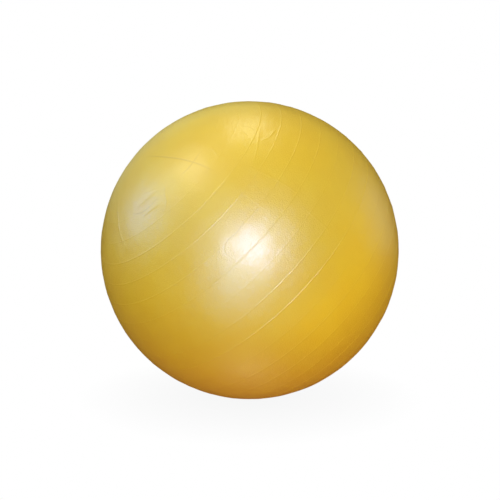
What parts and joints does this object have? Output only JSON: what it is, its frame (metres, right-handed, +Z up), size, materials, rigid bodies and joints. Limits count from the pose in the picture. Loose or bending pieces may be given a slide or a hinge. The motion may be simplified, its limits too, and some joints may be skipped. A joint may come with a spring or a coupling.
{
  "type": "exercise ball",
  "caption": "Inflated exercise ball with thin raised ribs round a tilted axis, a bonded valve seat and a push-in valve plug.",
  "frame": {"origin": "on the floor, straight under the ball's centre", "axes": "+Z up; the ribs' axis leans 47 degrees from +Z, and its lower end, where the valve is, points to +X, +Y and down"},
  "size_m": [0.449, 0.4486, 0.4476],
  "materials": {
    "skin": "pearlescent satin gloss",
    "insert": "satin, translucent",
    "stopper": "satin"
  },
  "bodies": {
    "ball": {"ball_shell": "skin", "valve_seat": "insert"},
    "plug": {"valve_plug": "stopper"}
  },
  "joints": [
    {"name": "plug_pull", "type": "slide", "parent": "ball", "child": "plug", "axis": [0.6607, 0.3137, -0.682], "range_m": [0, 0.024]}
  ]
}
